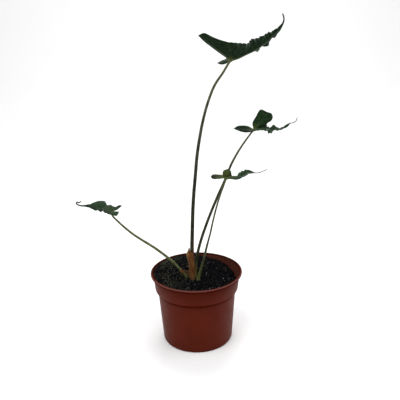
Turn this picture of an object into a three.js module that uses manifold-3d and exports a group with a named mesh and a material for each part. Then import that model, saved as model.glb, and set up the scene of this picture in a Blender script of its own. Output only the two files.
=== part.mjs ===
// A small potted aroid: four tailed, frilled leaves on mottled stems in a brown plastic nursery pot.
// Millimetres, +Z up, pot standing on z = 0, its axis on the Z axis, the viewer at -Y.
import * as THREE from "three";
import Module from "manifold-3d";

// Driving dimensions
const POT_HEIGHT = 83;
const POT_RIM_R = 52.5; // outside of the rolled lip: a 10.5 cm nursery pot
const POT_BASE_R = 40.5;
const POT_WALL = 1.1;
const POT_FLOOR_Z = 2.8;
const BAND_TOP_R = 49.6; // just under the lip
const BAND_FOOT_R = 47.8;
const BAND_FOOT_Z = 62.9;
const BODY_TOP_R = 44.8; // under the step
const BODY_TOP_Z = 60.7;
const WALL_TOP_Z = 81; // of the band's inner face
const POT_STEPS = 56;
const DRAIN_HOLES = 8;
const DRAIN_R = 3.4;
const DRAIN_CIRCLE_R = 23.5;
const GAP = 0.3; // left between pieces that touch

const SOIL_Z = 76.3; // height of the soil on the pot's axis
const SOIL_TILT_X = -0.12; // higher on the left
const SOIL_TILT_Y = 0.095; // and at the back
const SOIL_DIP = 3; // hollow against the wall on the right
const SOIL_TOP = 82.4; // highest it reaches
const SOIL_HEAP = 0.5; // at the stems
const SOIL_FLOOR_Z = POT_FLOOR_Z + GAP;
const SOIL_EDGE_R = 46; // where its height at the wall is read
const SOIL_RINGS = 13;
const SOIL_LUMPS = 12; // grit fused into the surface
const STEM_DEPTH = 20; // of the stems below the surface
const STEM_LEAN = 0.06; // most lean below the surface
const HOLE_DEEPER = 0.5; // the soil's holes than the stems in them

const STEM_SIDES = 10;
const BLADE_STEPS = 24; // along the midrib
const BLADE_ACROSS = 4; // across each half
const LOBE_STEPS = 6; // along a basal lobe
const BLADE_T = 0.7; // thickness of a blade
const RIB_T = 1.5; // extra under the midrib at the stem
const TAIL_T = 1; // of its cord-like tail
const RUFFLE_TURNS = 0.8; // waves of the margin for each midrib point
const SHEATH_T = 0.65;
const SHEATH_STEPS = 12; // round the wrap

// stem centre lines from the soil to the leaf, with the radius at the foot, middle and top
const STEMS = {
  top: {
    r: [2.3, 1.7, 1.03],
    path: [
      [-4.2, -9, 76.4], [-4.3, -8.3, 96.5], [-4, -6.7, 115.2], [-3, -5.9, 136.5],
      [-1.9, -6.4, 157.7], [-0.2, -6.8, 178.3], [2, -7, 198.4], [4.1, -7, 218],
      [7.3, -6.8, 237.1], [11.3, -6.4, 255.7], [16.7, -5.8, 274], [24.4, -5.1, 291.9],
      [32.7, -4.5, 303.5], [39.1, -4, 313.1],
    ],
  },
  right: {
    r: [1.7, 1.45, 0.8],
    path: [
      [-1.9, -3, 75.3], [0, -3, 94], [2.1, -2, 105.2], [6.1, 0.5, 119.3],
      [12.2, 3, 136.3], [24.8, 4.5, 167.4], [33.9, 4.2, 188], [42, 3.6, 208.1],
      [49.3, 3.1, 221.3], [57.9, 2.4, 234.2], [63.8, 2, 241.7],
    ],
  },
  middle: {
    r: [2, 0.95, 0.88],
    path: [
      [1.9, -10.5, 76], [3.9, -10.6, 84.3], [7.8, -10.6, 97.2], [12.5, -10.1, 116.3],
      [16.3, -9.9, 130.4], [21.1, -10.2, 151.4], [26.8, -10.2, 171.9], [32.1, -10.1, 186.9],
      [34.7, -10, 193.2],
    ],
  },
  left: {
    r: [1.55, 1.35, 0.85],
    path: [
      [-11.1, -8, 76.4], [-16, -8.6, 85.1], [-20, -9.1, 90.8], [-29.2, -9.3, 101.5],
      [-37.4, -9.4, 109.1], [-48.1, -9, 117.6], [-57.6, -8.4, 124], [-68.4, -7.3, 131.6],
      [-79.1, -6, 140.9], [-85.9, -5, 147.7], [-90.8, -3.7, 153.2], [-91.3, -3.7, 155.8],
    ],
  },
};

// Leaves, each measured from its own joint with the stem, at. tail = half its width where the tail
// starts and at its tip, mid = the midrib from the joint to the tip of the tail. For each half, left
// and right as seen along the midrib: edge = margin points matched to the midrib's, rib = rib of the
// ear-like basal lobe, out and inn = that lobe's margins beside it; bow = how full the half is,
// ruffle = height of its waves.
const TOP_LEAF = {
  at: [39.7, -4, 315.4],
  tail: [0.9, 0.5],
  mid: [
    [0, 0, 0], [7, 2, 1.5], [17, 6, 5.5], [28, 10, 10], [35, 12, 14.5], [40, 13, 18],
    [45, 14, 22.5], [49, 14, 26.5], [52.5, 14, 30.5], [55, 14, 35], [55.5, 13.5, 38.5],
    [54, 13, 43.5],
  ],
  left: {
    bow: 0.08,
    ruffle: 0.7,
    edge: [
      [1.5, 19, 5], [9, 21, 6.5], [20, 24, 8.5], [30.5, 20, 8], [33.5, 18, 13], [38.5, 17, 11.5],
      [42.5, 16, 18], [48, 16, 22], [53.5, 15, 29.5],
    ],
    rib: [
      [-4, 10, -1], [-8, 16, -2.5], [-12, 21, -3.5],
    ],
    out: [
      [-3, 18, 0.5], [-8, 22, -1.5],
    ],
    inn: [
      [-4.5, 7, -4], [-9, 13, -4.5],
    ],
  },
  right: {
    bow: 0.06,
    ruffle: 0.7,
    edge: [
      [-2, -11, 17], [5, -10, 16.5], [16, -5, 15.5], [23, 2, 19.5], [31.5, 6, 21.5], [38, 8, 25],
      [43, 11, 26.5], [47.5, 12, 29], [51.5, 13, 32],
    ],
    rib: [
      [-8, -5, 7], [-17.5, -9, 14], [-25.5, -11, 20.5], [-31.5, -12, 24],
    ],
    out: [
      [-10.5, -13, 19.5], [-18, -15, 22.5], [-26.5, -14, 26],
    ],
    inn: [
      [-8.5, -2, 5.5], [-18, -7, 12.5], [-26.5, -10, 19],
    ],
  },
};

const RIGHT_LEAF = {
  at: [64.7, 2, 243.7],
  tail: [0.45, 0.3],
  mid: [
    [0, 0, 0], [5.5, 2, 0], [11, 4, -0.5], [16, 5, -1], [20.5, 6, -1.5], [25, 7, -1.5],
    [29.5, 8, -1.5], [33.5, 8, 0.5], [37, 8, 2.5], [40.5, 8, 4.5], [43.5, 8, 5], [46.5, 8, 7],
    [47.5, 8, 10.5],
  ],
  left: {
    bow: 0.08,
    ruffle: 0.4,
    edge: [
      [16.5, 10, 5.5], [15.5, 12, 3], [16, 12, 1], [19.5, 11, 0], [22.5, 10, 3], [26.5, 10, 0],
      [30.5, 9.5, -0.5], [34, 9, 1.5], [37, 8.5, 3.5],
    ],
    rib: [
      [4.5, 3, 4.5], [8.5, 6, 9], [12.5, 8, 13.5], [15, 9, 17],
    ],
    out: [
      [19.5, 10, 7], [21.5, 10, 10.5], [20.5, 10, 14.5],
    ],
    inn: [
      [-1, 2, 6.5], [3, 5, 13], [8, 7, 20],
    ],
  },
  right: {
    bow: 0.08,
    ruffle: 0.3,
    edge: [
      [-0.5, -10, 0], [4.5, -9, 0.5], [9.5, -9, 0.5], [13.5, -7, -1], [17, -5, -4],
      [21, -2, -1.5], [28.5, 1, -1.5], [33.5, 5, -0.5], [37.5, 7, 1],
    ],
    rib: [
      [-5.5, -3, 1], [-12.5, -7, 2], [-17.5, -10, 3], [-22, -12, 3.5],
    ],
    out: [
      [-7, -11, -1], [-13, -13, 0], [-17.5, -13, 1.5],
    ],
    inn: [
      [-4.5, 1, 3], [-12.5, -3, 5], [-18, -8, 5],
    ],
  },
};

const MIDDLE_LEAF = {
  at: [35, -10, 195.1],
  tail: [0.5, 0.3],
  mid: [
    [0, 0, 0], [5.5, 1, -1], [11, 2, -2], [14.5, 3, -1.5], [18.5, 4, 0.5], [22.5, 5, 3],
    [27, 5, 3.5], [31, 5, 3], [34.5, 5, 3], [39, 5, 4.5], [44, 5, 6.5],
  ],
  left: {
    bow: 0.08,
    ruffle: 0.3,
    edge: [
      [6, 3, 1], [8, 9, -1.5], [12, 13, -2.5], [15, 12, 2.5], [18.5, 11, 4], [21.5, 10, 5.5],
      [26.5, 8, 5],
    ],
    rib: [
      [0.5, -0.5, 3], [1, 0, 6], [1, 1, 9],
    ],
    out: [
      [5.5, 2, 3], [4.5, 1, 7],
    ],
    inn: [
      [-4, 0, 3], [-3, 0.5, 7.5],
    ],
  },
  right: {
    bow: 0.08,
    ruffle: 0.3,
    edge: [
      [1, -5, 1], [5, -5, 2.5], [10.5, -4, 2.5], [14, -2, 2.5], [19, -1, 0.5], [23, 2, 2.5],
      [27.5, 3, 3],
    ],
    rib: [
      [-5.5, -2, 1], [-10.5, -3, 1.5], [-14, -4, 2], [-17, -4, 2],
    ],
    out: [
      [-6, -6, 0.5], [-10.5, -7, 0.5], [-15, -6, 0.5],
    ],
    inn: [
      [-4, 1, 2.5], [-10, 2, 3], [-15, -1, 3.5],
    ],
  },
};

const LEFT_LEAF = {
  at: [-92.4, -3, 157.8],
  tail: [0.8, 0.5],
  mid: [
    [0, 0, 0], [-3, 0, 1.5], [-6.5, 0.5, 3], [-11, 1, 4], [-16, 1, 5], [-20.5, 1, 6],
    [-24, 1, 6.5], [-28, 1, 6.5], [-32, 1, 7], [-35, 1, 8], [-37.5, 2, 9.5], [-37, 4, 10.5],
    [-35.5, 6, 9], [-33.5, 8, 10],
  ],
  left: {
    bow: 0.1,
    ruffle: 0.4,
    edge: [
      [1, -11, 0], [-2, -10, 1], [-5.5, -9, 2], [-9.5, -9, 3.5], [-13.5, -7, 3.5],
      [-18.5, -4, 4], [-22, -2, 5], [-26.5, -0.5, 6],
    ],
    rib: [
      [4, -5, 0.5], [7.5, -8, 0], [9.5, -10, 0],
    ],
    out: [
      [5.5, -12, -1], [8.5, -12.5, -1],
    ],
    inn: [
      [5.5, -2, 0.5], [10, -6, 1],
    ],
  },
  right: {
    bow: 0.1,
    ruffle: 0.12,
    edge: [
      [0.5, 11, 2.5], [-2, 12, 3.8], [-5.4, 13, 3], [-8.2, 14, 7.3], [-14.6, 14, 8],
      [-19.3, 9, 8.2], [-22.6, 5, 7.5], [-26.3, 3, 7.5],
    ],
    rib: [
      [4, 5, 1], [7.5, 9, 1.5], [11, 12, 2.5],
    ],
    out: [
      [3.5, 11, 1.5], [7.5, 12, 3],
    ],
    inn: [
      [5, 3, 0], [8.5, 8, 1],
    ],
  },
};

// Helpers
const V3 = (a) => new THREE.Vector3(...a);
const clamp = (x, a, b) => Math.min(b, Math.max(a, x));
let seed = 20414;
const rnd = () => ((seed = (seed * 16807) % 2147483647) - 1) / 2147483646;

// smooth curve through the points, at index u, with tangents weighted by the spans' lengths
function curve(points, u) {
  const n = points.length;
  const k = clamp(Math.floor(u), 0, n - 2);
  const s = u - k;
  const span = (i) => points[i].distanceTo(points[i + 1]) + 1e-9;
  const slope = (i) => {
    if (i === 0) return points[1].clone().sub(points[0]).divideScalar(span(0));
    if (i === n - 1) return points[n - 1].clone().sub(points[n - 2]).divideScalar(span(n - 2));
    const a = span(i - 1);
    const b = span(i);
    return points[i].clone().sub(points[i - 1]).multiplyScalar(b / a)
      .addScaledVector(points[i + 1].clone().sub(points[i]), a / b).divideScalar(a + b);
  };
  const h = span(k);
  return points[k].clone().multiplyScalar(2 * s ** 3 - 3 * s ** 2 + 1)
    .addScaledVector(slope(k), (s ** 3 - 2 * s ** 2 + s) * h)
    .addScaledVector(points[k + 1], -2 * s ** 3 + 3 * s ** 2)
    .addScaledVector(slope(k + 1), (s ** 3 - s ** 2) * h);
}
const heading = (points, u) => {
  const n = points.length - 1;
  return curve(points, Math.min(u + 0.02, n)).sub(curve(points, Math.max(u - 0.02, 0))).normalize();
};

function geometry(vertices, faces) {
  const g = new THREE.BufferGeometry();
  g.setAttribute("position", new THREE.BufferAttribute(
    new Float32Array(vertices.flatMap((v) => [v.x, v.y, v.z])), 3));
  g.setIndex(faces.flat());
  g.computeVertexNormals();
  return g;
}

// round bar along a path, closed at both ends; radius is a function of the share of the length
function tube(path, radius, steps, sides) {
  const points = path.map(V3);
  const n = points.length - 1;
  const vertices = [];
  const faces = [];
  const side = new THREE.Vector3(0, 1, 0);
  for (let i = 0; i <= steps; i++) {
    const u = (i / steps) * n;
    const c = curve(points, u);
    const t = heading(points, u);
    side.addScaledVector(t, -side.dot(t)).normalize();
    const up = t.clone().cross(side);
    const r = radius(i / steps);
    for (let k = 0; k < sides; k++) {
      const a = (2 * Math.PI * k) / sides;
      vertices.push(c.clone().addScaledVector(side, r * Math.cos(a)).addScaledVector(up, r * Math.sin(a)));
    }
  }
  const at = (i, k) => i * sides + (k % sides);
  for (let i = 0; i < steps; i++)
    for (let k = 0; k < sides; k++)
      faces.push([at(i, k), at(i, k + 1), at(i + 1, k + 1)], [at(i, k), at(i + 1, k + 1), at(i + 1, k)]);
  const ends = [points[0], points[n]].map((p) => vertices.push(p.clone()) - 1);
  for (let k = 0; k < sides; k++)
    faces.push([ends[0], at(0, k + 1), at(0, k)], [ends[1], at(steps, k), at(steps, k + 1)]);
  return geometry(vertices, faces);
}

// Pot
function potGeometry() {
  const w = POT_WALL;
  const p = [
    [0, 0], [11, 0], [12, 1.7], [33.6, 1.7], [34.6, 0], [POT_BASE_R - 1.5, 0],
    [POT_BASE_R - 0.4, 0.5], [POT_BASE_R, 1.7], [BODY_TOP_R, BODY_TOP_Z],
    [BODY_TOP_R + 1.2, BODY_TOP_Z + 0.5], [BAND_FOOT_R - 0.5, BAND_FOOT_Z - 0.6],
    [BAND_FOOT_R, BAND_FOOT_Z + 0.3], [BAND_TOP_R, 79.2], [BAND_TOP_R + 1.2, 79.9],
    [POT_RIM_R - 0.5, 80.2], [POT_RIM_R, 81.1], [POT_RIM_R, 82.2], [POT_RIM_R - 0.7, POT_HEIGHT],
    [POT_RIM_R - 2, POT_HEIGHT], [POT_RIM_R - 3.2, 82.5], [BAND_TOP_R - w, WALL_TOP_Z],
    [BAND_FOOT_R - w, BAND_FOOT_Z + 0.6], [BODY_TOP_R - w + 0.2, BODY_TOP_Z + 0.8],
    [BODY_TOP_R - w - 0.2, BODY_TOP_Z - 0.6], [POT_BASE_R - w + 0.2, 4],
    [POT_BASE_R - w - 1, POT_FLOOR_Z], [0, POT_FLOOR_Z],
  ];
  return new THREE.LatheGeometry(p.map(([r, z]) => new THREE.Vector2(r, z)), POT_STEPS)
    .rotateX(Math.PI / 2);
}
// inside radius of the pot at a height
function innerRadius(z) {
  const foot = BAND_FOOT_Z + 0.6;
  if (z > foot)
    return BAND_FOOT_R - POT_WALL + ((BAND_TOP_R - BAND_FOOT_R) * (z - foot)) / (WALL_TOP_Z - foot);
  const low = POT_BASE_R - POT_WALL + 0.2;
  return low + ((BODY_TOP_R - POT_WALL - 0.2 - low) * (z - 4)) / (BODY_TOP_Z - 4.6);
}

// Soil
function soilHeight(x, y) {
  const rough = 0.5 * Math.sin(x * 0.42 + 1.3) * Math.sin(y * 0.37 + 0.4)
    + 0.45 * Math.sin(x * 0.81 - y * 0.63 + 2) + 0.3 * Math.sin(y * 1.1 + x * 0.3);
  const heap = SOIL_HEAP * Math.exp(-((x + 3) ** 2 + (y + 8) ** 2) / 160);
  const dip = SOIL_DIP * Math.exp(-((x - 50) ** 2 + (y - 10) ** 2) / 300);
  return Math.min(SOIL_Z + SOIL_TILT_X * x + SOIL_TILT_Y * y + rough + heap - dip, SOIL_TOP);
}
function soilGeometry() {
  const vertices = [new THREE.Vector3(0, 0, soilHeight(0, 0))];
  const faces = [];
  const n = POT_STEPS;
  const ring = (points) => {
    const start = vertices.length;
    vertices.push(...points);
    return start;
  };
  const around = (make) => Array.from({ length: n }, (_, k) => make((2 * Math.PI * (k + 0.5)) / n, k));
  const starts = [];
  for (let j = 1; j <= SOIL_RINGS; j++)
    starts.push(ring(around((a) => {
      const edge = soilHeight(SOIL_EDGE_R * Math.cos(a), SOIL_EDGE_R * Math.sin(a));
      const r = (innerRadius(edge) * Math.cos(Math.PI / n) - GAP) * (j / SOIL_RINGS) ** 0.85;
      const x = r * Math.cos(a);
      const y = r * Math.sin(a);
      return new THREE.Vector3(x, y, soilHeight(x, y));
    })));
  const shoulder = BODY_TOP_R - POT_WALL + 0.1;
  for (const [z, wall] of [
    [BAND_FOOT_Z + 1.1, innerRadius(BAND_FOOT_Z + 0.7)], [BODY_TOP_Z + 1.3, shoulder],
    [BODY_TOP_Z - 0.7, shoulder - 0.4], [32, innerRadius(32)], [4.2, innerRadius(4.2)],
    [SOIL_FLOOR_Z, innerRadius(4.2) - 1.3],
  ])
    starts.push(ring(around((a) => {
      const r = wall * Math.cos(Math.PI / n) - GAP;
      return new THREE.Vector3(r * Math.cos(a), r * Math.sin(a), z);
    })));
  for (let k = 0; k < n; k++) faces.push([0, 1 + k, 1 + ((k + 1) % n)]);
  for (let j = 0; j + 1 < starts.length; j++)
    for (let k = 0; k < n; k++) {
      const [a, b] = [starts[j] + k, starts[j] + ((k + 1) % n)];
      const [c, d] = [starts[j + 1] + k, starts[j + 1] + ((k + 1) % n)];
      faces.push([a, c, d], [a, d, b]);
    }
  const floor = vertices.push(new THREE.Vector3(0, 0, SOIL_FLOOR_Z)) - 1;
  const last = starts[starts.length - 1];
  for (let k = 0; k < n; k++) faces.push([floor, last + ((k + 1) % n), last + k]);
  return geometry(vertices, faces);
}
function gritGeometries() {
  return Array.from({ length: SOIL_LUMPS }, () => {
    const a = 2 * Math.PI * rnd();
    const d = 16 + 24 * Math.sqrt(rnd());
    const size = 1.3 + 1.4 * rnd();
    const [x, y] = [d * Math.cos(a), d * Math.sin(a)];
    return new THREE.IcosahedronGeometry(size, 0).scale(1, 0.8, 0.7).rotateZ(6 * rnd())
      .translate(x, y, soilHeight(x, y) + 0.25 * size);
  });
}

// Stems
function stem(spec, grow, extra) {
  const [x, y, z] = spec.path[0];
  const [x1, y1, z1] = spec.path[1];
  const lean = [(x1 - x) / (z1 - z), (y1 - y) / (z1 - z)].map((v) => clamp(v, -STEM_LEAN, STEM_LEAN));
  const down = [0.5, 1].map((s) => STEM_DEPTH * s + (s === 1 ? extra : 0))
    .map((d) => [x - lean[0] * d, y - lean[1] * d, z - d]).reverse();
  const path = [...down, ...spec.path];
  const foot = 2 / (path.length - 1);
  const [r0, r1, r2] = spec.r;
  const radius = (t) => {
    const s = clamp((t - foot) / (1 - foot), 0, 1);
    return grow + (s < 0.5 ? r0 + (r1 - r0) * Math.min(1, s * 2) ** 0.7 : r1 + (r2 - r1) * (s * 2 - 1));
  };
  return tube(path, radius, (path.length - 1) * 2, STEM_SIDES);
}

// Dry sheath round the foot of the tallest stem
// rows: height, turn where the wrap starts and ends (degrees, -90 faces the viewer), radius there
const SHEATH_ROWS = [
  [62, -245, -25, 2.65, 2.65], [77, -243, -25, 2.85, 2.65], [79.5, -241, -27, 3.8, 2.8],
  [82, -240, -28, 4, 2.8], [84.5, -238, -30, 3.4, 2.65], [87.5, -236, -32, 2.8, 2.6],
  [93, -233, -36, 2.7, 2.5], [97.5, -230, -38, 3.6, 2.5], [101, -228, -42, 4.8, 2.5],
  [104.7, -224, -48, 5.6, 2.45], [107.5, -218, -70, 5, 2.45], [109.5, -210, -115, 4, 2.5],
  [112.6, -196, -155, 3, 2.6],
];
function sheathGeometry(grow) {
  const path = STEMS.top.path.map(V3);
  const axisAt = (z) => {
    if (z <= path[0].z) {
      const k = clamp((path[1].x - path[0].x) / (path[1].z - path[0].z), -STEM_LEAN, STEM_LEAN);
      const m = clamp((path[1].y - path[0].y) / (path[1].z - path[0].z), -STEM_LEAN, STEM_LEAN);
      return [path[0].x + k * (z - path[0].z), path[0].y + m * (z - path[0].z)];
    }
    let u = 0;
    while (curve(path, u).z < z) u += 0.01;
    const c = curve(path, u);
    return [c.x, c.y];
  };
  const cols = SHEATH_STEPS;
  const vertices = [];
  const faces = [];
  const rows = SHEATH_ROWS.length;
  for (const [z, a0, a1, rLeft, rRight] of SHEATH_ROWS) {
    const [cx, cy] = axisAt(z);
    const low = z === SHEATH_ROWS[0][0] ? z - grow : z;
    for (const layer of [0, 1])
      for (let k = 0; k <= cols; k++) {
        const s = k / cols;
        const turn = ((a0 - grow * 18 + (a1 - a0 + grow * 36) * s) * Math.PI) / 180;
        const flare = rRight + (rLeft - rRight) * Math.exp(-(((s - 0.3) / 0.35) ** 2));
        const r = flare + (layer ? SHEATH_T + grow : -3 * grow);
        vertices.push(new THREE.Vector3(cx + r * Math.cos(turn), cy + r * Math.sin(turn), low));
      }
  }
  const at = (i, layer, k) => (i * 2 + layer) * (cols + 1) + k;
  const quad = (a, b, c, d) => faces.push([a, b, c], [a, c, d]);
  for (let i = 0; i + 1 < rows; i++) {
    for (let k = 0; k < cols; k++) {
      quad(at(i, 1, k), at(i, 1, k + 1), at(i + 1, 1, k + 1), at(i + 1, 1, k));
      quad(at(i, 0, k + 1), at(i, 0, k), at(i + 1, 0, k), at(i + 1, 0, k + 1));
    }
    quad(at(i, 0, 0), at(i, 1, 0), at(i + 1, 1, 0), at(i + 1, 0, 0));
    quad(at(i, 1, cols), at(i, 0, cols), at(i + 1, 0, cols), at(i + 1, 1, cols));
  }
  for (let k = 0; k < cols; k++) {
    quad(at(0, 0, k), at(0, 0, k + 1), at(0, 1, k + 1), at(0, 1, k));
    quad(at(rows - 1, 1, k), at(rows - 1, 1, k + 1), at(rows - 1, 0, k + 1), at(rows - 1, 0, k));
  }
  return geometry(vertices, faces);
}

// Leaves
// margin with the tail's narrow strip added where no margin point is given
function margin(mid, edge, tail) {
  const out = [...edge];
  for (let k = edge.length; k < mid.length; k++) {
    const t = mid[Math.min(k + 1, mid.length - 1)].clone().sub(mid[k - 1]).normalize();
    const d = out[k - 1].clone().sub(mid[k - 1]);
    d.addScaledVector(t, -d.dot(t)).normalize();
    const s = (k - edge.length) / Math.max(mid.length - 1 - edge.length, 1);
    out.push(mid[k].clone().addScaledVector(d, tail[0] + (tail[1] - tail[0]) * s));
  }
  return out;
}
function bladeGeometry(leaf) {
  const place = (p) => V3(p).add(V3(leaf.at));
  const mid = leaf.mid.map(place);
  const n = mid.length - 1;
  const vertices = [];
  const relief = []; // extra thickness under each vertex
  const faces = [];
  const add = (v, extra) => {
    relief.push(extra);
    return vertices.push(v) - 1;
  };
  const halves = [["left", 1], ["right", -1]].map(([name, sign]) => {
    const half = leaf[name];
    return { sign, half, edge: margin(mid, half.edge.map(place), leaf.tail) };
  });
  const tailFrom = Math.max(leaf.left.edge.length, leaf.right.edge.length) - 1;
  const at = new Map();
  const key = (i, j) => i * 100 + j;
  for (let i = 0; i <= BLADE_STEPS; i++) {
    const u = (i / BLADE_STEPS) * n;
    const c = curve(mid, u);
    const t = heading(mid, u);
    const cord = u > tailFrom ? TAIL_T - BLADE_T : 0;
    at.set(key(i, 0), add(c, cord + RIB_T * (1 - i / BLADE_STEPS) ** 1.5));
    for (const { sign, half, edge } of halves) {
      const d = curve(edge, u).sub(c);
      const w = d.length();
      const normal = t.clone().cross(d).multiplyScalar(sign).normalize();
      const live = clamp((half.edge.length - 1 - u) / 1.5, 0, 1) * Math.min(1, u / 2);
      const wave = half.ruffle * live * Math.sin(2 * Math.PI * u * RUFFLE_TURNS + 1 + sign);
      for (let j = 1; j <= BLADE_ACROSS; j++) {
        const q = j / BLADE_ACROSS;
        const lift = half.bow * w * 4 * q * (1 - q) + wave * q * q;
        at.set(key(i, sign * j), add(c.clone().addScaledVector(d, q).addScaledVector(normal, lift), cord));
      }
    }
  }
  for (let i = 0; i < BLADE_STEPS; i++)
    for (let j = -BLADE_ACROSS; j < BLADE_ACROSS; j++) {
      const [a, b] = [at.get(key(i, j)), at.get(key(i + 1, j))];
      const [c, d] = [at.get(key(i + 1, j + 1)), at.get(key(i, j + 1))];
      faces.push([a, b, c], [a, c, d]);
    }
  for (const { sign, half } of halves) {
    const rib = [mid[0], ...half.rib.map(place)];
    const m = rib.length - 1;
    const out = [place(half.edge[0]), ...half.out.map(place), rib[m]];
    const inn = [mid[0], ...half.inn.map(place), rib[m]];
    let prev = new Map();
    for (let j = -2; j <= BLADE_ACROSS; j++) prev.set(j, at.get(key(0, j > 0 ? sign * j : 0)));
    for (let k = 1; k <= LOBE_STEPS; k++) {
      const u = m * Math.sin((Math.PI / 2) * (k / LOBE_STEPS));
      const c = curve(rib, u);
      const cur = new Map();
      if (k === LOBE_STEPS) {
        const tip = add(c, 0);
        for (let j = -2; j <= BLADE_ACROSS; j++) cur.set(j, tip);
      } else {
        const t = heading(rib, u);
        const o = curve(out, u).sub(c);
        const e = curve(inn, u).sub(c);
        const normal = t.cross(o).multiplyScalar(-sign).normalize();
        cur.set(0, add(c, 0.55 * RIB_T * (1 - u / m)));
        for (let j = 1; j <= BLADE_ACROSS; j++) {
          const q = j / BLADE_ACROSS;
          cur.set(j, add(c.clone().addScaledVector(o, q)
            .addScaledVector(normal, half.bow * o.length() * 4 * q * (1 - q)), 0));
        }
        for (const j of [1, 2])
          cur.set(-j, add(c.clone().addScaledVector(e, j / 2)
            .addScaledVector(normal, half.bow * e.length() * (j === 1 ? 1 : 0)), 0));
      }
      for (let j = -2; j < BLADE_ACROSS; j++) {
        const [a, b, c2, d] = [prev.get(j), cur.get(j), cur.get(j + 1), prev.get(j + 1)];
        for (const f of [[a, b, c2], [a, c2, d]])
          if (new Set(f).size === 3) faces.push(sign === 1 ? f.reverse() : f);
      }
      prev = cur;
    }
  }
  return shell(vertices, faces, relief);
}
// a sheet of even thickness from a surface, thicker underneath by the relief given
function shell(vertices, faces, relief) {
  const normals = vertices.map(() => new THREE.Vector3());
  const open = new Map();
  for (const [a, b, c] of faces) {
    const f = vertices[b].clone().sub(vertices[a]).cross(vertices[c].clone().sub(vertices[a]));
    for (const i of [a, b, c]) normals[i].add(f);
    for (const [i, k] of [[a, b], [b, c], [c, a]])
      if (!open.delete(k + "," + i)) open.set(i + "," + k, [i, k]);
  }
  const n = vertices.length;
  const both = [
    ...vertices.map((v, i) => v.clone().addScaledVector(normals[i].normalize(), BLADE_T / 2)),
    ...vertices.map((v, i) => v.clone().addScaledVector(normals[i], -BLADE_T / 2 - relief[i])),
  ];
  const all = [...faces];
  for (const [a, b, c] of faces) all.push([c + n, b + n, a + n]);
  for (const [a, b] of open.values()) all.push([b, a, a + n], [b, a + n, b + n]);
  return geometry(both, all);
}

// Joining and cutting
const wasm = await Module();
wasm.setup();
function solid(g) {
  const p = g.getAttribute("position");
  const mesh = new wasm.Mesh({
    numProp: 3,
    vertProperties: new Float32Array(p.array),
    triVerts: new Uint32Array(g.index ? g.index.array : [...Array(p.count).keys()]),
  });
  mesh.merge();
  return new wasm.Manifold(mesh);
}
function fromSolid(s) {
  const m = s.getMesh();
  const g = new THREE.BufferGeometry();
  g.setAttribute("position", new THREE.BufferAttribute(new Float32Array(m.vertProperties), 3));
  g.setIndex([...m.triVerts]);
  g.computeVertexNormals();
  return g;
}
function drill(body) {
  for (let k = 0; k < DRAIN_HOLES; k++) {
    const a = (2 * Math.PI * (k + 0.5)) / DRAIN_HOLES;
    const bit = new THREE.CylinderGeometry(DRAIN_R, DRAIN_R, 10, 12).rotateX(Math.PI / 2)
      .translate(DRAIN_CIRCLE_R * Math.cos(a), DRAIN_CIRCLE_R * Math.sin(a), 2);
    body = body.subtract(solid(bit));
  }
  return body;
}

const part = new THREE.Group();
part.name = "potted_aroid";
function piece(name, g, colour, roughness) {
  const mesh = new THREE.Mesh(g, new THREE.MeshStandardMaterial({ color: colour, roughness }));
  mesh.name = name;
  part.add(mesh);
}

piece("pot", fromSolid(drill(solid(potGeometry()))), 0x6b2a1e, 0.45);

let soil = gritGeometries().reduce((s, g) => s.add(solid(g)), solid(soilGeometry()));
for (const spec of Object.values(STEMS)) soil = soil.subtract(solid(stem(spec, GAP, HOLE_DEEPER)));
soil = soil.subtract(solid(sheathGeometry(GAP)));
piece("soil", fromSolid(soil), 0x1b1815, 0.95);

const LEAVES = { top: TOP_LEAF, right: RIGHT_LEAF, middle: MIDDLE_LEAF, left: LEFT_LEAF };
for (const [name, spec] of Object.entries(STEMS)) {
  piece("stem_" + name, stem(spec, 0, 0), 0x4b4f3a, 0.5);
  piece("leaf_" + name, bladeGeometry(LEAVES[name]), 0x24402a, 0.45);
}
piece("sheath", sheathGeometry(0), 0x8a5a2e, 0.8);

export default part;
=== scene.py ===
import math
import random

import bpy
import numpy as np
from mathutils import Matrix, Quaternion, Vector, noise


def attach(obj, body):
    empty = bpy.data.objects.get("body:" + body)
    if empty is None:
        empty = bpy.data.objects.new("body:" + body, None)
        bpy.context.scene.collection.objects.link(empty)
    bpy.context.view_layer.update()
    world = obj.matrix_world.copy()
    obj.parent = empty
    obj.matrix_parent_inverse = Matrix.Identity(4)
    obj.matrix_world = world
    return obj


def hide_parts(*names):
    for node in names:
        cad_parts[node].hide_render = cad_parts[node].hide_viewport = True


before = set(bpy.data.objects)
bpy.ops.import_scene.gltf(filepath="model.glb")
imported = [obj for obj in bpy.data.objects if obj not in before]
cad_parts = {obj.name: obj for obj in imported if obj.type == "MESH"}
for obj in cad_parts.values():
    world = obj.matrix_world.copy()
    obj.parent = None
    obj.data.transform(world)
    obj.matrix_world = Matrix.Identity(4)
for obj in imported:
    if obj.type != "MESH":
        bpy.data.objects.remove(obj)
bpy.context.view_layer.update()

MM = 0.001
SEED = 20414
rng = random.Random(SEED)

# Sizes in millimetres, as in the CAD model
POT_HEIGHT = 83
POT_RIM_R = 52.5
POT_BASE_R = 40.5
POT_WALL = 1.1
BAND_TOP_R = 49.6
BAND_FOOT_R = 47.8
BAND_FOOT_Z = 62.9
BODY_TOP_R = 44.8
BODY_TOP_Z = 60.7
WALL_TOP_Z = 81
POT_FLOOR_Z = 2.8
DRAIN_HOLES = 8
DRAIN_R = 3.4
DRAIN_CIRCLE_R = 23.5
SOIL_Z = 76.3
SOIL_TILT_X = -0.12
SOIL_TILT_Y = 0.095
SOIL_DIP = 3
SOIL_TOP = 82.4
SOIL_HEAP = 0.5
SOIL_EDGE_R = 46
GAP = 0.3

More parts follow.
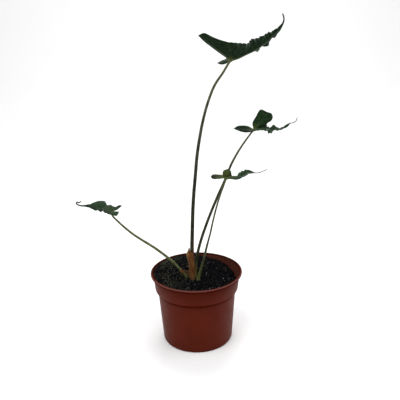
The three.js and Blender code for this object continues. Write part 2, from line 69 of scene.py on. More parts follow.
BASE_PAD_R = 11  # under the pot: a pad, a recess round it and the ring that it stands on
BASE_RECESS_R = (12, 33.6)
BASE_RECESS_Z = 1.7
BASE_RING_R = 34.6
BASE_EDGE_Z = 1.6
POT_SIDES = 180
EDGE_ROUND = 0.5
SOIL_RINGS = 110
SOIL_SIDES = 300
CRUMB_REACH = 42.75  # how far from the middle crumbs lie
FLAKE = 0.5  # a crumb flatter than this lies flat

STEM_LEAN = 0.06  # most lean under the soil
STEM_RINGS = 190
STEM_SIDES = 22
LEFT_NODE_Z = 97.4  # of the swollen ring on the left stem

BLADE_T = 0.7
RIB_RELIEF = 1.15  # of the midrib under the blade
VEIN_RELIEF = 0.22
VEIN_GROOVE = 0.1
JOINT_RELIEF = 0.9
JOINT_R = 2.2
RIB_COLUMN = 0.4  # width of the columns beside a rib
VEIN_SWEEP = 0.4  # of a vein towards the tip, as a share of the veins' distance
QUILT = 0.12  # rise of the blade between two veins
RUFFLE_TURNS = 0.8  # waves of the margin for each midrib point
LOBE_TIP_SHADE = 0.25
FAR_FROM_MARGIN = 5
LOWER_SHEET = 40  # shifts the pattern of the lower face
SIDES = (("left", 1), ("right", -1))
INNER_COLUMNS = 6
ROWS_PER_STATION = 12
COLUMNS = 20
LOBE_ROWS = 26

# Stem radii at the foot, in the middle and at the top, and centre lines from the soil to the leaf
STEM_RADII = {
    "top": (2.3, 1.7, 1.03), "right": (1.7, 1.45, 0.8),
    "middle": (2, 0.95, 0.88), "left": (1.55, 1.35, 0.85),
}
STEM_PATHS = {
    "top": [
        (-4.2, -9, 76.4), (-4.3, -8.3, 96.5), (-4, -6.7, 115.2), (-3, -5.9, 136.5), (-1.9, -6.4, 157.7),
        (-0.2, -6.8, 178.3), (2, -7, 198.4), (4.1, -7, 218), (7.3, -6.8, 237.1), (11.3, -6.4, 255.7),
        (16.7, -5.8, 274), (24.4, -5.1, 291.9), (32.7, -4.5, 303.5), (39.1, -4, 313.1),
    ],
    "right": [
        (-1.9, -3, 75.3), (0, -3, 94), (2.1, -2, 105.2), (6.1, 0.5, 119.3), (12.2, 3, 136.3),
        (24.8, 4.5, 167.4), (33.9, 4.2, 188), (42, 3.6, 208.1), (49.3, 3.1, 221.3), (57.9, 2.4, 234.2),
        (63.8, 2, 241.7),
    ],
    "middle": [
        (1.9, -10.5, 76), (3.9, -10.6, 84.3), (7.8, -10.6, 97.2), (12.5, -10.1, 116.3),
        (16.3, -9.9, 130.4), (21.1, -10.2, 151.4), (26.8, -10.2, 171.9), (32.1, -10.1, 186.9),
        (34.7, -10, 193.2),
    ],
    "left": [
        (-11.1, -8, 76.4), (-16, -8.6, 85.1), (-20, -9.1, 90.8), (-29.2, -9.3, 101.5),
        (-37.4, -9.4, 109.1), (-48.1, -9, 117.6), (-57.6, -8.4, 124), (-68.4, -7.3, 131.6),
        (-79.1, -6, 140.9), (-85.9, -5, 147.7), (-90.8, -3.7, 153.2), (-91.3, -3.7, 155.8),
    ],
}

# Leaves. Looks: how fresh the green is, how far and strongly olive spreads from the joint, how pale the
# ribs are, how close the fine frills stand, and for the left and right halves the frills' height, the
# painted light and shade that scale the colour of the halves and their lobes, and their grey bloom.
# Shape,
# measured from the joint: midrib, and for each half its rise as a share of its width, the height of its
# long waves, its margin, and its basal lobe's rib, outer and inner margins.
TOP_LEAF = dict(
    fresh=0, joint=3.2, olive=0.8, pale_rib=0.9, pitch=1.35, frill=(0.6, 0.8),
    light=(0.95, 0.8), lobe_painted_light=(0.8, 0.8), bloom=(0.3, 0),
    at=[39.7, -4, 315.4], tail=[0.9, 0.5],
    mid=[
        [0, 0, 0], [7, 2, 1.5], [17, 6, 5.5], [28, 10, 10], [35, 12, 14.5], [40, 13, 18],
        [45, 14, 22.5], [49, 14, 26.5], [52.5, 14, 30.5], [55, 14, 35], [55.5, 13.5, 38.5],
        [54, 13, 43.5],
    ],
    left=dict(
        bow=0.08, ruffle=0.7,
        edge=[
            [1.5, 19, 5], [9, 21, 6.5], [20, 24, 8.5], [30.5, 20, 8], [33.5, 18, 13], [38.5, 17, 11.5],
            [42.5, 16, 18], [48, 16, 22], [53.5, 15, 29.5],
        ],
        rib=[[-4, 10, -1], [-8, 16, -2.5], [-12, 21, -3.5]],
        out=[[-3, 18, 0.5], [-8, 22, -1.5]],
        inn=[[-4.5, 7, -4], [-9, 13, -4.5]],
    ),
    right=dict(
        bow=0.06, ruffle=0.7,
        edge=[
            [-2, -11, 17], [5, -10, 16.5], [16, -5, 15.5], [23, 2, 19.5], [31.5, 6, 21.5], [38, 8, 25],
            [43, 11, 26.5], [47.5, 12, 29], [51.5, 13, 32],
        ],
        rib=[[-8, -5, 7], [-17.5, -9, 14], [-25.5, -11, 20.5], [-31.5, -12, 24]],
        out=[[-10.5, -13, 19.5], [-18, -15, 22.5], [-26.5, -14, 26]],
        inn=[[-8.5, -2, 5.5], [-18, -7, 12.5], [-26.5, -10, 19]],
    ),
)

RIGHT_LEAF = dict(
    fresh=0.1, joint=5.0, olive=0.8, pale_rib=0.26, pitch=1.35, frill=(0.45, 0.45),
    light=(1.1, 1.1), lobe_painted_light=(1.0, 0.42), bloom=(0.15, 0.1),
    at=[64.7, 2, 243.7], tail=[0.45, 0.3],
    mid=[
        [0, 0, 0], [5.5, 2, 0], [11, 4, -0.5], [16, 5, -1], [20.5, 6, -1.5], [25, 7, -1.5],
        [29.5, 8, -1.5], [33.5, 8, 0.5], [37, 8, 2.5], [40.5, 8, 4.5], [43.5, 8, 5], [46.5, 8, 7],
        [47.5, 8, 10.5],
    ],
    left=dict(
        bow=0.08, ruffle=0.4,
        edge=[
            [16.5, 10, 5.5], [15.5, 12, 3], [16, 12, 1], [19.5, 11, 0], [22.5, 10, 3], [26.5, 10, 0],
            [30.5, 9.5, -0.5], [34, 9, 1.5], [37, 8.5, 3.5],
        ],
        rib=[[4.5, 3, 4.5], [8.5, 6, 9], [12.5, 8, 13.5], [15, 9, 17]],
        out=[[19.5, 10, 7], [21.5, 10, 10.5], [20.5, 10, 14.5]],
        inn=[[-1, 2, 6.5], [3, 5, 13], [8, 7, 20]],
    ),
    right=dict(
        bow=0.08, ruffle=0.3,
        edge=[
            [-0.5, -10, 0], [4.5, -9, 0.5], [9.5, -9, 0.5], [13.5, -7, -1], [17, -5, -4],
            [21, -2, -1.5], [28.5, 1, -1.5], [33.5, 5, -0.5], [37.5, 7, 1],
        ],
        rib=[[-5.5, -3, 1], [-12.5, -7, 2], [-17.5, -10, 3], [-22, -12, 3.5]],
        out=[[-7, -11, -1], [-13, -13, 0], [-17.5, -13, 1.5]],
        inn=[[-4.5, 1, 3], [-12.5, -3, 5], [-18, -8, 5]],
    ),
)

MIDDLE_LEAF = dict(
    fresh=0.2, joint=10, olive=0.75, pale_rib=0.1, pitch=1.35, frill=(0.45, 0.45),
    light=(1.05, 1.7), lobe_painted_light=(1.1, 0.3), bloom=(0, 0.75),
    at=[35, -10, 195.1], tail=[0.5, 0.3],
    mid=[
        [0, 0, 0], [5.5, 1, -1], [11, 2, -2], [14.5, 3, -1.5], [18.5, 4, 0.5], [22.5, 5, 3],
        [27, 5, 3.5], [31, 5, 3], [34.5, 5, 3], [39, 5, 4.5], [44, 5, 6.5],
    ],
    left=dict(
        bow=0.08, ruffle=0.3,
        edge=[
            [6, 3, 1], [8, 9, -1.5], [12, 13, -2.5], [15, 12, 2.5], [18.5, 11, 4], [21.5, 10, 5.5],
            [26.5, 8, 5],
        ],
        rib=[[0.5, -0.5, 3], [1, 0, 6], [1, 1, 9]],
        out=[[5.5, 2, 3], [4.5, 1, 7]],
        inn=[[-4, 0, 3], [-3, 0.5, 7.5]],
    ),
    right=dict(
        bow=0.08, ruffle=0.3,
        edge=[
            [1, -5, 1], [5, -5, 2.5], [10.5, -4, 2.5], [14, -2, 2.5], [19, -1, 0.5], [23, 2, 2.5],
            [27.5, 3, 3],
        ],
        rib=[[-5.5, -2, 1], [-10.5, -3, 1.5], [-14, -4, 2], [-17, -4, 2]],
        out=[[-6, -6, 0.5], [-10.5, -7, 0.5], [-15, -6, 0.5]],
        inn=[[-4, 1, 2.5], [-10, 2, 3], [-15, -1, 3.5]],
    ),
)

LEFT_LEAF = dict(
    fresh=0.7, joint=6.5, olive=0.22, pale_rib=0.06, pitch=0.75, frill=(0.4, 0.05),
    light=(0.42, 0.68), lobe_painted_light=(0.7, 0.55), bloom=(0, 0),
    at=[-92.4, -3, 157.8], tail=[0.8, 0.5],
    mid=[
        [0, 0, 0], [-3, 0, 1.5], [-6.5, 0.5, 3], [-11, 1, 4], [-16, 1, 5], [-20.5, 1, 6], [-24, 1, 6.5],
        [-28, 1, 6.5], [-32, 1, 7], [-35, 1, 8], [-37.5, 2, 9.5], [-37, 4, 10.5], [-35.5, 6, 9],
        [-33.5, 8, 10],
    ],
    left=dict(
        bow=0.1, ruffle=0.4,
        edge=[
            [1, -11, 0], [-2, -10, 1], [-5.5, -9, 2], [-9.5, -9, 3.5], [-13.5, -7, 3.5], [-18.5, -4, 4],
            [-22, -2, 5], [-26.5, -0.5, 6],
        ],
        rib=[[4, -5, 0.5], [7.5, -8, 0], [9.5, -10, 0]],
        out=[[5.5, -12, -1], [8.5, -12.5, -1]],
        inn=[[5.5, -2, 0.5], [10, -6, 1]],
    ),
    right=dict(
        bow=0.1, ruffle=0.12,
        edge=[
            [0.5, 11, 2.5], [-2, 12, 3.8], [-5.4, 13, 3], [-8.2, 14, 7.3], [-14.6, 14, 8],
            [-19.3, 9, 8.2], [-22.6, 5, 7.5], [-26.3, 3, 7.5],
        ],
        rib=[[4, 5, 1], [7.5, 9, 1.5], [11, 12, 2.5]],
        out=[[3.5, 11, 1.5], [7.5, 12, 3]],
        inn=[[5, 3, 0], [8.5, 8, 1]],
    ),
)

LEAVES = {"top": TOP_LEAF, "right": RIGHT_LEAF, "middle": MIDDLE_LEAF, "left": LEFT_LEAF}

# Sheath rows: height, turn where the wrap starts and ends, radius at the left and at the right
SHEATH_ROWS = [
    (73, -245, -25, 2.65, 2.65), (77, -243, -25, 2.85, 2.65), (79.5, -241, -27, 3.8, 2.8),
    (82, -240, -28, 4, 2.8), (84.5, -238, -30, 3.4, 2.65), (87.5, -236, -32, 2.8, 2.6),
    (93, -233, -36, 2.7, 2.5), (97.5, -230, -38, 3.6, 2.5), (101, -228, -42, 4.8, 2.5),
    (104.7, -224, -48, 5.6, 2.45), (107.5, -218, -70, 5, 2.45), (109.5, -210, -115, 4, 2.5),
    (112.6, -196, -155, 3, 2.6),
]
SHEATH_T = 0.55
SHEATH_GRID = (90, 60)  # rows and columns
REMNANT_GRID = (12, 26)
REMNANT_SPAN = (0.95, 1.6)  # along the left stem, in points of its path
REMNANT_R = 1.68
REMNANT_T = 0.22

# Dry strands beside the sheath's foot: radius and points
DRY_STRANDS = [
    (0.3, [(-15.2, -9.8, 87.8), (-12.6, -10.4, 87.6), (-10, -10.8, 86.6), (-7.4, -11.4, 86.2)]),
    (0.26, [(-14, -10.2, 85.6), (-11.6, -10.8, 84.6), (-9.4, -11, 84.8), (-7.6, -11.6, 83.9)]),
    (0.3, [
        (-10.6, -9.6, 92.4), (-9, -10.4, 93.2), (-7.5, -11, 91.4), (-8, -11.2, 88.6),
        (-10, -10.6, 87.4),
    ]),
    (0.24, [(-11.5, -10.2, 83.6), (-9.6, -11.2, 82), (-8, -12, 80.4), (-7.4, -12.6, 78.2)]),
]


# Geometry helpers

def unit(v):
    return v / (np.linalg.norm(v, axis=-1, keepdims=True) + 1e-12)


def curve(points, u):
    """Smooth curve through the points at index u, with tangents weighted by the spans' lengths."""
    p = np.asarray(points, float)
    span = np.linalg.norm(np.diff(p, axis=0), axis=1)[:, None] + 1e-9
    slope = np.zeros_like(p)
    slope[0] = (p[1] - p[0]) / span[0]
    slope[-1] = (p[-1] - p[-2]) / span[-1]
    a, b = span[:-1], span[1:]
    slope[1:-1] = ((p[1:-1] - p[:-2]) * b / a + (p[2:] - p[1:-1]) * a / b) / (a + b)
    k = np.clip(np.floor(u).astype(int), 0, len(p) - 2)
    s = (u - k)[:, None]
    h = span[k]
    return (
        (2 * s**3 - 3 * s**2 + 1) * p[k] + (s**3 - 2 * s**2 + s) * h * slope[k]
        + (-2 * s**3 + 3 * s**2) * p[k + 1] + (s**3 - s**2) * h * slope[k + 1]
    )


def heading(points, u):
    last = len(points) - 1
    return unit(curve(points, np.minimum(u + 0.02, last)) - curve(points, np.maximum(u - 0.02, 0)))


def smooth(x):
    x = np.clip(x, 0, 1)
    return x * x * (3 - 2 * x)


def fbm(points, scale, octaves, seed):
    """Layered noise about 0 at each point, scale in millimetres."""
    total = np.zeros(len(points))
    for i, p in enumerate(points):
        v = Vector((p[0] / scale + seed, p[1] / scale - seed, p[2] / scale + 2 * seed))
        total[i] = noise.fractal(v, 0.8, 2.1, octaves)
    return total


def build(name, vertices, faces, material, slot=None, looks=None, flat=False):
    """A mesh object from points in millimetres. With a slot, it is a piece of the plant."""
    mesh = bpy.data.meshes.new(name)
    mesh.from_pydata((np.asarray(vertices) * MM).tolist(), [], faces)
    mesh.validate()
    for key, values in (looks or {}).items():
        values = np.asarray(values, float)
        vector = values.ndim == 2
        layer = mesh.attributes.new(key, "FLOAT_VECTOR" if vector else "FLOAT", "POINT")
        layer.data.foreach_set("vector" if vector else "value", values.ravel())
    mesh.polygons.foreach_set("use_smooth", [not flat] * len(mesh.polygons))
    mesh.update()
    mesh.materials.append(material)
    obj = bpy.data.objects.new(name, mesh)
    bpy.context.scene.collection.objects.link(obj)
    if slot:
        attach(obj, "root")
    return obj


def turns(sides):
    return 2 * np.pi * np.arange(sides) / sides


def circle(r, z, angle):
    return np.c_[r * np.cos(angle), r * np.sin(angle), np.full(len(angle), z)]


def ring_faces(rings, sides, closed=True):
    """Quads between successive rings of points."""
    out = []
    for i in range(rings - 1):
        for k in range(sides if closed else sides - 1):
            m = (k + 1) % sides
            a = i * sides
            out.append((a + k, a + m, a + sides + m, a + sides + k))
    return out


def solid_faces(rings, sides):
    """Faces of a solid made of rings, whose two end points come after the rings."""
    n = rings * sides
    faces = ring_faces(rings, sides)
    for k in range(sides):
        m = (k + 1) % sides
        faces.append((n, m, k))
        faces.append((n + 1, n - sides + k, n - sides + m))
    return faces


def sheet_faces(rows, columns):
    """Faces of a thin sheet: one grid of points, a second grid behind it, and the rim between them."""
    n = rows * columns
    grid = ring_faces(rows, columns, closed=False)
    rim = [i * columns for i in range(rows)]
    rim += [(rows - 1) * columns + k for k in range(1, columns)]
    rim += [i * columns + columns - 1 for i in range(rows - 2, -1, -1)]
    rim += range(columns - 2, 0, -1)
    back = [tuple(i + n for i in f[::-1]) for f in grid]
    return grid + back + [(a, b, b + n, a + n) for a, b in zip(rim, rim[1:] + rim[:1])]


def surface_normals(points, faces):
    """Normals of the points, and the edges that belong to one face only, in its direction."""
    normals = np.zeros_like(points)
    edges = set()
    for f in faces:
        p = points[list(f)]
        normals[list(f)] += np.cross(p[2] - p[0], p[-1] - p[1])
        edges.update(zip(f, f[1:] + f[:1]))
    return unit(normals), sorted((a, b) for a, b in edges if (b, a) not in edges)


def tube(points, radius, rings, sides, oval=0):
    """Closed bar along a path: points, faces, and for each point its way along, its angle and radius."""
    us = np.linspace(0, len(points) - 1, rings)
    c = curve(points, us)
    t = heading(points, us)
    along = np.r_[0, np.cumsum(np.linalg.norm(np.diff(c, axis=0), axis=1))]
    side = np.array([0, 1.0, 0])
    angle = turns(sides)
    r = np.array([radius(x) for x in us / us[-1]])
    vertices = []
    for i in range(rings):
        side = unit(side - t[i] * (side @ t[i]))
        up = np.cross(t[i], side)
        round_it = np.outer(np.cos(angle), side) + (1 + oval) * np.outer(np.sin(angle), up)
        vertices.append(c[i] + r[i] * round_it)
    v = np.vstack([*vertices, c[0], c[-1]])
    s = np.r_[np.repeat(along, sides), along[0], along[-1]]
    turn = np.r_[np.tile(angle, rings), 0, 0]
    return v, solid_faces(rings, sides), s, turn, np.r_[np.repeat(r, sides), r[0], r[-1]]


# Material helpers

def display(colour):
    """Shader colour from a 0..255 display colour."""
    shares = [c / 255 for c in colour]
    return (*(c / 12.92 if c <= 0.04045 else ((c + 0.055) / 1.055) ** 2.4 for c in shares), 1)


class Shader:
    """A principled material with a base colour, and a short way to add nodes to it."""

    def __init__(self, name):
        self.material = bpy.data.materials.new(name)
        self.material.use_nodes = True
        self.tree = self.material.node_tree
        self.bsdf = self.tree.nodes["Principled BSDF"]
        self.base = None

    def plug(self, values, node):
        """Links outputs to a node's inputs, or sets values there."""
        for key, value in values.items():
            if hasattr(value, "links"):
                self.tree.links.new(value, node.inputs[key])
            else:
                node.inputs[key].default_value = value

    def finish(self, rough, sheen, normal=None):
        self.plug({"Base Color": self.base, "Roughness": rough, "Specular IOR Level": sheen}, self.bsdf)
        if normal:
            self.plug({"Normal": normal}, self.bsdf)
        return self.material

    def add(self, kind, inputs, **props):
        node = self.tree.nodes.new("ShaderNode" + kind)
        for key, value in props.items():
            setattr(node, key, value)
        self.plug(inputs, node)
        return node

    def attribute(self, name, output="Fac"):
        return self.add("Attribute", {}, attribute_name=name).outputs[output]

    def position(self):
        return self.add("TexCoord", {}).outputs["Object"]

    def part(self, vector, axis):
        return self.add("SeparateXYZ", {0: vector}).outputs[axis]

    def math(self, operation, a, b=0, clamp=False):
        return self.add("Math", {0: a, 1: b}, operation=operation, use_clamp=clamp).outputs[0]

    def scaled(self, vector, factor):
        return self.add("VectorMath", {0: vector, 1: factor}, operation="MULTIPLY").outputs[0]

    def noise(self, vector, scale, detail=3.0, roughness=0.55):
        inputs = {"Vector": vector, "Scale": scale, "Detail": detail, "Roughness": roughness}
        return self.add("TexNoise", inputs).outputs["Fac"]

    def ramp(self, factor, stops):
        n = self.add("ValToRGB", {"Fac": factor})
        elements = n.color_ramp.elements
        elements.remove(elements[1])
        for i, (at, colour) in enumerate(stops):
            e = elements.new(at) if i else elements[0]
            e.position = at
            e.color = display(colour)
        return n.outputs["Color"]

    def range(self, value, low, high, new_low=0, new_high=1.0):
        inputs = {0: value, 1: low, 2: high, 3: new_low, 4: new_high}
        return self.add("MapRange", inputs, interpolation_type="SMOOTHSTEP").outputs[0]

    def mix(self, factor, a, b, blend="MIX"):
        a, b = (display(c) if isinstance(c, tuple) else c for c in (a, b))
        return self.add("Mix", {0: factor, 6: a, 7: b}, data_type="RGBA", blend_type=blend).outputs[2]

    def tint(self, factor, colour):
        """Mixes a colour into the base colour."""
        self.base = self.mix(factor, self.base, colour)

    def times(self, a, b):
        return self.math("MULTIPLY", a, b)

    def bump(self, height, distance, strength, under=None):
        inputs = {"Height": height, "Distance": distance, "Strength": strength}
        if under:
            inputs["Normal"] = under
        return self.add("Bump", inputs).outputs["Normal"]


def pot_material():
    m = Shader("pot_plastic")
    where = m.position()
    height = m.part(where, "Z")
    cloud = m.noise(where, 38, 4)
    m.base = m.ramp(cloud, [(0.3, (78, 21, 5)), (0.7, (87, 25, 7))])
    flow = m.noise(m.scaled(where, (1, 1, 0.06)), 420, 2)
    m.tint(m.range(flow, 0.55, 0.8, 0, 0.1), (102, 42, 27))
    # painted reflection: soft paler upright bands on the pot's left and right sides
    from_middle = m.math("ABSOLUTE", m.part(where, "X"))
    side = m.range(from_middle, 0.024, 0.04)
    m.tint(m.times(side, m.range(flow, 0.3, 0.7, 0, 0.2)), (104, 48, 36))
    # painted shade in the crease under the band and under the lip, dust on the lip, a painted highlight
    # along the lip's crest
    m.tint(m.attribute("crease_painted_shade"), (34, 5, 1))
    dust = m.times(m.noise(where, 260, 4), m.range(height, 0.0805, 0.083))
    m.tint(m.range(dust, 0.3, 0.7, 0, 0.25), (96, 62, 56))
    m.tint(m.attribute("crest"), (98, 72, 70))
    # potting dust clinging to the inner wall, thickest at the soil line, makes it paler; its darker
    # patches are partly dust and partly painted shade
    inside = m.attribute("inside")
    grime_and_painted_shade = m.times(inside, m.range(m.noise(where, 500, 5, 0.7), 0.35, 0.6))
    m.tint(m.times(inside, 0.55), (112, 62, 52))
    m.tint(m.times(grime_and_painted_shade, 0.55), (52, 38, 30))
    rough = m.range(m.noise(where, 180, 3), 0.2, 0.8, 0.4, 0.55)
    sheen = m.range(m.attribute("crease_painted_shade"), 0, 0.5, 0.06, 0)
    dents = m.bump(m.noise(where, 120, 2), 0.0004, 0.15)
    return m.finish(rough, sheen, m.bump(m.noise(where, 1900, 2), 0.00006, 0.5, dents))


def soil_material():
    m = Shader("soil")
    where = m.position()
    tone = m.attribute("tone")
    grain = m.noise(where, 900, 5, 0.7)
    dark = m.ramp(grain, [(0.32, (2, 2, 4)), (0.55, (9, 9, 11)), (0.75, (40, 38, 38))])
    m.base = m.mix(m.range(tone, 0.6, 1, 0, 0.45), dark, (40, 37, 38))
    m.tint(m.range(tone, 0, 0.3, 0.5, 0), (3, 4, 8))
    moss = m.times(m.noise(where, 120, 3), m.range(m.noise(where, 1500, 2), 0.45, 0.6))
    left = m.range(m.part(where, "X"), 0, -0.04)
    m.tint(m.times(m.range(moss, 0.42, 0.6), left), (68, 69, 54))
    rough = m.range(grain, 0.3, 0.7, 0.5, 0.9)
    return m.finish(rough, 0.03, m.bump(grain, 0.0006, 0.8))


def grit_material(name, light, dark, rough):
    m = Shader(name)
    where = m.position()
    m.base = m.ramp(m.noise(where, 1400, 3), [(0.3, dark), (0.62, light)])
    return m.finish(rough, 0.2, m.bump(m.noise(where, 2600, 3), 0.0003, 0.6))


def stem_material():
    m = Shader("stem")
    around = m.attribute("around", "Vector")
    share = m.attribute("share")
    spots = m.noise(m.scaled(around, (900, 900, 150)), 1, 3, 0.6)
    fine = m.noise(m.scaled(around, (2600, 2600, 700)), 1, 2)
    ground = m.ramp(share, [
        (0, (60, 66, 36)), (0.14, (46, 49, 32)), (0.4, (48, 52, 38)),
        (0.65, (66, 69, 54)), (0.85, (86, 90, 68)), (1.0, (112, 116, 80)),
    ])
    dark = m.ramp(share, [
        (0, (34, 32, 18)), (0.3, (20, 22, 15)), (0.7, (40, 42, 32)), (1.0, (78, 82, 56)),
    ])
    mask = m.math("ADD", m.range(spots, 0.42, 0.56), m.range(fine, 0.62, 0.8, 0, 0.4), clamp=True)
    m.base = m.mix(mask, ground, dark)
    m.tint(m.attribute("pale"), m.mix(mask, (104, 110, 72), (74, 80, 48)))
    m.tint(m.attribute("foot"), (82, 92, 58))
    m.tint(m.attribute("olive"), (132, 120, 56))
    # painted shade on the left stem's underside
    m.tint(m.attribute("painted_underside_shade"), (38, 46, 22))
    m.tint(m.attribute("blush"), (66, 40, 24))
    ribbed = m.bump(m.noise(m.scaled(around, (1500, 1500, 60)), 1, 2), 0.0002, 0.5)
    return m.finish(0.45, 0.08, ribbed)


def leaf_material():
    m = Shader("leaf")
    margin = m.attribute("margin")
    under = m.attribute("under")
    light = m.attribute("light")
    sheet = m.attribute("sheet", "Vector")
    off_vein = m.times(m.math("PINGPONG", m.attribute("phase"), 0.5), m.attribute("span"))
    vein = m.times(m.range(off_vein, 0.15, 0.7, 1, 0), m.range(margin, 0.8, 3))
    cells = m.add("TexVoronoi", {"Vector": sheet, "Scale": 0.42}, feature="DISTANCE_TO_EDGE")
    net = m.range(cells.outputs["Distance"], 0, 0.1, 1, 0)
    rib = m.times(m.range(m.attribute("across"), 0.35, 0.9, 1, 0), m.attribute("ridge"))
    cloud = m.noise(sheet, 0.12, 4)
    upper = m.ramp(cloud, [(0.3, (15, 32, 16)), (0.7, (31, 50, 29))])
    lower = m.ramp(cloud, [(0.3, (14, 32, 16)), (0.7, (27, 44, 26))])
    m.base = m.mix(under, upper, lower)
    m.tint(m.times(m.attribute("fresh"), 0.75), (36, 68, 36))
    mottle = m.noise(sheet, 0.34, 4, 0.65)
    m.tint(m.range(mottle, 0.5, 0.66, 0, 0.5), (50, 76, 46))
    m.tint(m.range(mottle, 0.34, 0.48, 0.65, 0), (8, 24, 9))
    m.tint(m.times(net, 0.1), (52, 70, 44))
    m.tint(m.times(vein, 0.1), (66, 84, 54))
    # painted light and shade: the colour is scaled by each half's and lobe's light value, and darker
    # towards the lobe tips
    painted_light_scale = m.add("CombineXYZ", {0: light, 1: light, 2: light}).outputs[0]
    m.base = m.mix(1.0, m.base, painted_light_scale, "MULTIPLY")
    # painted highlight on the crests of the waves, grey bloom, painted shade in the troughs
    crest = m.times(m.attribute("crest"), m.range(under, 0, 1, 1, -1))
    m.tint(m.range(crest, 0.1, 0.7, 0, 0.7), (80, 96, 88))
    m.tint(m.times(m.attribute("bloom"), 0.7), (66, 78, 74))
    m.tint(m.range(crest, -0.8, -0.1, 0.6, 0), (9, 18, 10))
    m.tint(rib, (78, 92, 70))
    m.tint(m.range(margin, 0.1, 0.5, 0.3, 0), (50, 58, 40))
    m.tint(m.times(m.attribute("cord"), 0.8), (30, 36, 28))
    m.tint(m.attribute("joint"), (84, 92, 50))
    rough = m.math("ADD", m.times(under, 0.12), m.range(cloud, 0.3, 0.7, 0.34, 0.44))
    grain = m.bump(m.noise(sheet, 2.2, 2), 0.00012, 0.5)
    return m.finish(rough, 0.045, grain)


def sheath_material():
    m = Shader("sheath")
    strand = m.attribute("strand", "Vector")
    fibre = m.noise(m.scaled(strand, (5.0, 0.12, 1)), 1, 4, 0.65)
    m.base = m.ramp(fibre, [(0.28, (62, 34, 14)), (0.5, (106, 66, 30)), (0.72, (146, 106, 62))])
    blotch = m.noise(m.scaled(strand, (0.35, 0.12, 1)), 1, 3)
    m.tint(m.range(blotch, 0.42, 0.64, 0, 0.75), (84, 40, 13))
    height = m.part(strand, "Y")
    flange = m.times(m.range(m.part(strand, "X"), 6.4, 5.2), m.range(height, 84, 96))
    m.tint(m.times(flange, 0.6), (134, 102, 66))
    m.tint(m.range(height, 85, 78, 0, 0.65), (112, 92, 56))
    return m.finish(0.72, 0.2, m.bump(fibre, 0.0004, 0.8))


# Pot

def rounded(profile, radius, steps=4):
    """The profile with each inner corner rounded as far as its sides allow."""
    p = [np.array(q, float) for q in profile]
    out = [p[0]]
    for a, b, c in zip(p, p[1:], p[2:]):
        d0, d1 = a - b, c - b
        r = min(radius, 0.45 * np.linalg.norm(d0), 0.45 * np.linalg.norm(d1))
        s, e = b + unit(d0) * r, b + unit(d1) * r
        for k in range(steps + 1):
            t = k / steps
            out.append((1 - t) ** 2 * s + 2 * t * (1 - t) * b + t * t * e)
    out.append(p[-1])
    return np.array(out)


def pot_profile():
    """Radius and height, from the middle of the underside over the lip to the middle of the floor."""
    w = POT_WALL
    taper = (BODY_TOP_R - POT_BASE_R) / (BODY_TOP_Z - BASE_EDGE_Z)
    body = [(POT_BASE_R + taper * (z - BASE_EDGE_Z), z) for z in (52, 55, 57, 58.5, 59.6)]
    recess = [(r, BASE_RECESS_Z) for r in BASE_RECESS_R]
    return rounded([
        (0, 0), (BASE_PAD_R, 0), *recess, (BASE_RING_R, 0), (POT_BASE_R - 1.2, 0),
        (POT_BASE_R, BASE_EDGE_Z), *body,
        (BODY_TOP_R, BODY_TOP_Z), (BODY_TOP_R + 1.2, BODY_TOP_Z + 0.5),
        (BAND_FOOT_R - 0.5, BAND_FOOT_Z - 0.6), (BAND_FOOT_R, BAND_FOOT_Z + 0.3), (BAND_TOP_R, 79.2),
        (BAND_TOP_R + 1.2, 79.9), (POT_RIM_R - 0.5, 80.2), (POT_RIM_R, 81.3), (POT_RIM_R - 0.1, 82.5),
        (POT_RIM_R - 0.9, POT_HEIGHT), (POT_RIM_R - 2, POT_HEIGHT), (POT_RIM_R - 3.2, 82.5),
        (BAND_TOP_R - w, WALL_TOP_Z), (BAND_FOOT_R - w, BAND_FOOT_Z + 0.6),
        (BODY_TOP_R - w + 0.2, BODY_TOP_Z + 0.8), (BODY_TOP_R - w - 0.2, BODY_TOP_Z - 0.6),
        (POT_BASE_R - w + 0.2, 4), (POT_BASE_R - w - 1, POT_FLOOR_Z), (0, POT_FLOOR_Z),
    ], EDGE_ROUND)


def pot_dust_and_painted_light(z):
    """Of rows from the base over the lip to the floor: how far inside, how much painted shade in a crease
    and how much painted highlight on the crest.
    """
    outer = np.arange(len(z)) <= int(np.argmax(z))
    inside = ~outer * smooth((82.3 - z) / 1.5)
    under_band = smooth(1.2 - (BAND_FOOT_Z - z) / 6) * (z < BAND_FOOT_Z)
    under_lip = smooth(1.4 - np.abs(z - 80.2) / 1.6)
    crease_painted_shade = outer * np.maximum(0.5 * under_band, 0.65 * under_lip)
    crease_painted_shade = np.maximum(crease_painted_shade, 0.9 * ~outer * smooth((z - 80.8) / 0.5))
    crest = 0.95 * smooth(1 - np.abs(z - 82.5) / 0.5) * outer
    return inside, crease_painted_shade, crest


def drill(pot, x, y):
    bpy.ops.mesh.primitive_cylinder_add(
        vertices=28, radius=DRAIN_R * MM, depth=10 * MM, location=(x * MM, y * MM, 2 * MM),
    )
    bit = bpy.context.object
    cut = pot.modifiers.new("drain", "BOOLEAN")
    cut.object = bit
    cut.solver = "EXACT"
    bpy.context.view_layer.objects.active = pot
    bpy.ops.object.modifier_apply(modifier=cut.name)
    bpy.data.objects.remove(bit)


